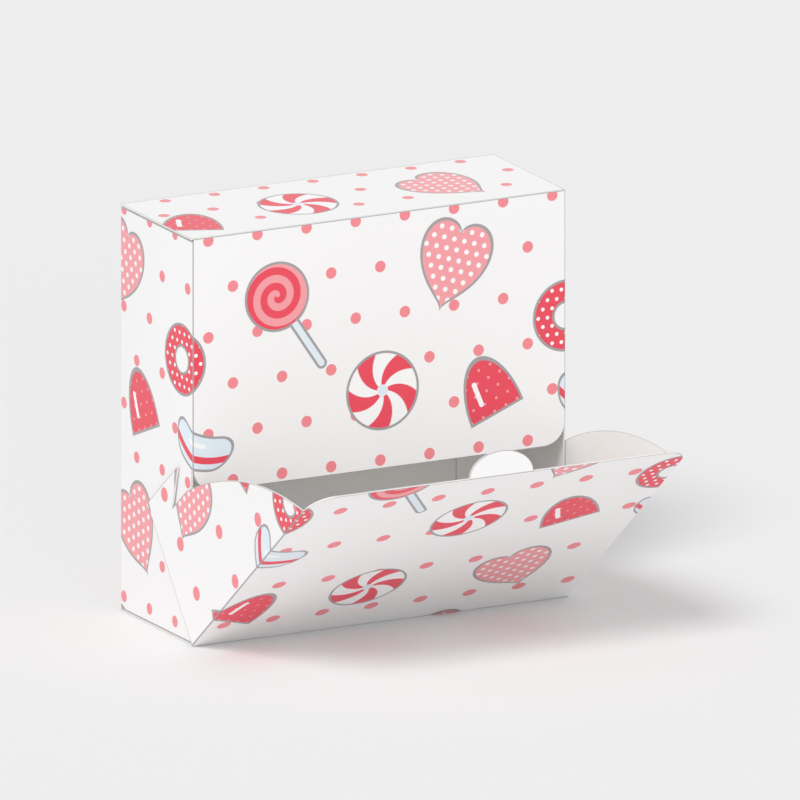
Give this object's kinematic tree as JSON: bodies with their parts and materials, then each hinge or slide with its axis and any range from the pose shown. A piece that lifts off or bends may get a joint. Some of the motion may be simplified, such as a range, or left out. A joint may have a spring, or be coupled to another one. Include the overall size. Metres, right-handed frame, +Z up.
{
  "type": "tilt-out chute carton",
  "caption": "Folding board carton for sweets with a tilt-out chute at the lower front, side wings, a thumb tab and a tuck-in lid.",
  "frame": {"origin": "centre of the box's base, on the underside of the bottom panel", "axes": "+Z up, -Y out of the front where the chute tips out, +X to the right seen from the front"},
  "size_m": [0.1216, 0.1209, 0.12],
  "materials": {
    "printed_board": "white coated board, semi-gloss, printed in pink and red",
    "plain_board": "uncoated white board, matt"
  },
  "bodies": {
    "box": {"front_panel": "printed_board", "back_panel": "printed_board", "left_side_panel": "printed_board", "right_side_panel": "printed_board", "glue_seam_flap": "plain_board", "bottom_panel": "printed_board", "bottom_dust_flap_left": "plain_board", "bottom_dust_flap_right": "plain_board"},
    "chute": {"chute_flap": "printed_board", "chute_wing_left": "printed_board", "chute_wing_right": "printed_board"},
    "tab": {"thumb_tab": "printed_board"},
    "lid": {"top_lid": "printed_board"},
    "tuck": {"lid_tuck_flap": "printed_board"},
    "dust_left": {"top_dust_flap_left": "plain_board"},
    "dust_right": {"top_dust_flap_right": "plain_board"}
  },
  "joints": [
    {"name": "chute_crease", "type": "hinge", "parent": "box", "child": "chute", "pos_m": [0, -0.02305, 0.00025], "axis": [-1, 0, 0], "range_deg": [-9, 51]},
    {"name": "tab_crease", "type": "hinge", "parent": "chute", "child": "tab", "pos_m": [0, -0.09812, 0.06104], "axis": [-1, 0, 0], "range_deg": [-51, 9]},
    {"name": "lid_crease", "type": "hinge", "parent": "box", "child": "lid", "pos_m": [0, 0.02225, 0.11975], "axis": [-1, 0, 0], "range_deg": [0, 120]},
    {"name": "tuck_crease", "type": "hinge", "parent": "lid", "child": "tuck", "pos_m": [0, -0.02145, 0.11975], "axis": [-1, 0, 0], "range_deg": [0, 36]},
    {"name": "dust_left_crease", "type": "hinge", "parent": "box", "child": "dust_left", "pos_m": [-0.05975, 0, 0.11895], "axis": [0, -1, 0], "range_deg": [0, 60]},
    {"name": "dust_right_crease", "type": "hinge", "parent": "box", "child": "dust_right", "pos_m": [0.05975, 0, 0.11895], "axis": [0, 1, 0], "range_deg": [0, 60]}
  ],
  "couplings": [
    {"joint": "tab_crease", "follows": "chute_crease", "ratio": -1},
    {"joint": "tuck_crease", "follows": "lid_crease", "ratio": 0.3},
    {"joint": "dust_left_crease", "follows": "lid_crease", "ratio": 0.5},
    {"joint": "dust_right_crease", "follows": "lid_crease", "ratio": 0.5}
  ]
}
